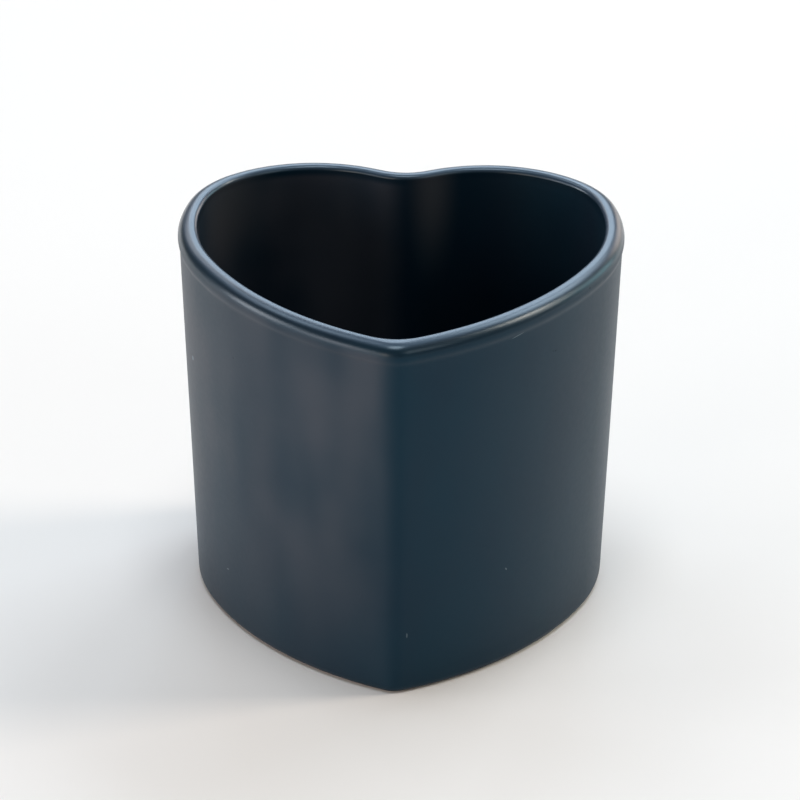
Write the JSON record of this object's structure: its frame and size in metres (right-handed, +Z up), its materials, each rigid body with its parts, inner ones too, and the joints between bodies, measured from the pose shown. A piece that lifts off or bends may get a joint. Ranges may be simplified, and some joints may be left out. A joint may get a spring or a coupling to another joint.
{
  "type": "candle jar",
  "caption": "Heart-shaped ceramic candle jar, empty and open at the top, with a lightly tapered wall, a rounded rim and a bare foot ring under a satin glaze.",
  "frame": {"origin": "on the table plane, under the middle of the rim's bounding box", "axes": "+Z up out of the mouth, -Y towards the point of the heart, +Y towards the two lobes, X across the lobes, about which the jar is symmetric left to right"},
  "size_m": [0.092, 0.0868, 0.081],
  "materials": {
    "stoneware": "matte, unglazed",
    "navy_glaze": "satin-matte, dark blue grey",
    "navy_glaze_under": "satin-matte, dark blue grey"
  },
  "bodies": {
    "root": {"stoneware_body": "stoneware", "satin_glaze": "navy_glaze", "underside_glaze": "navy_glaze_under"}
  },
  "joints": []
}
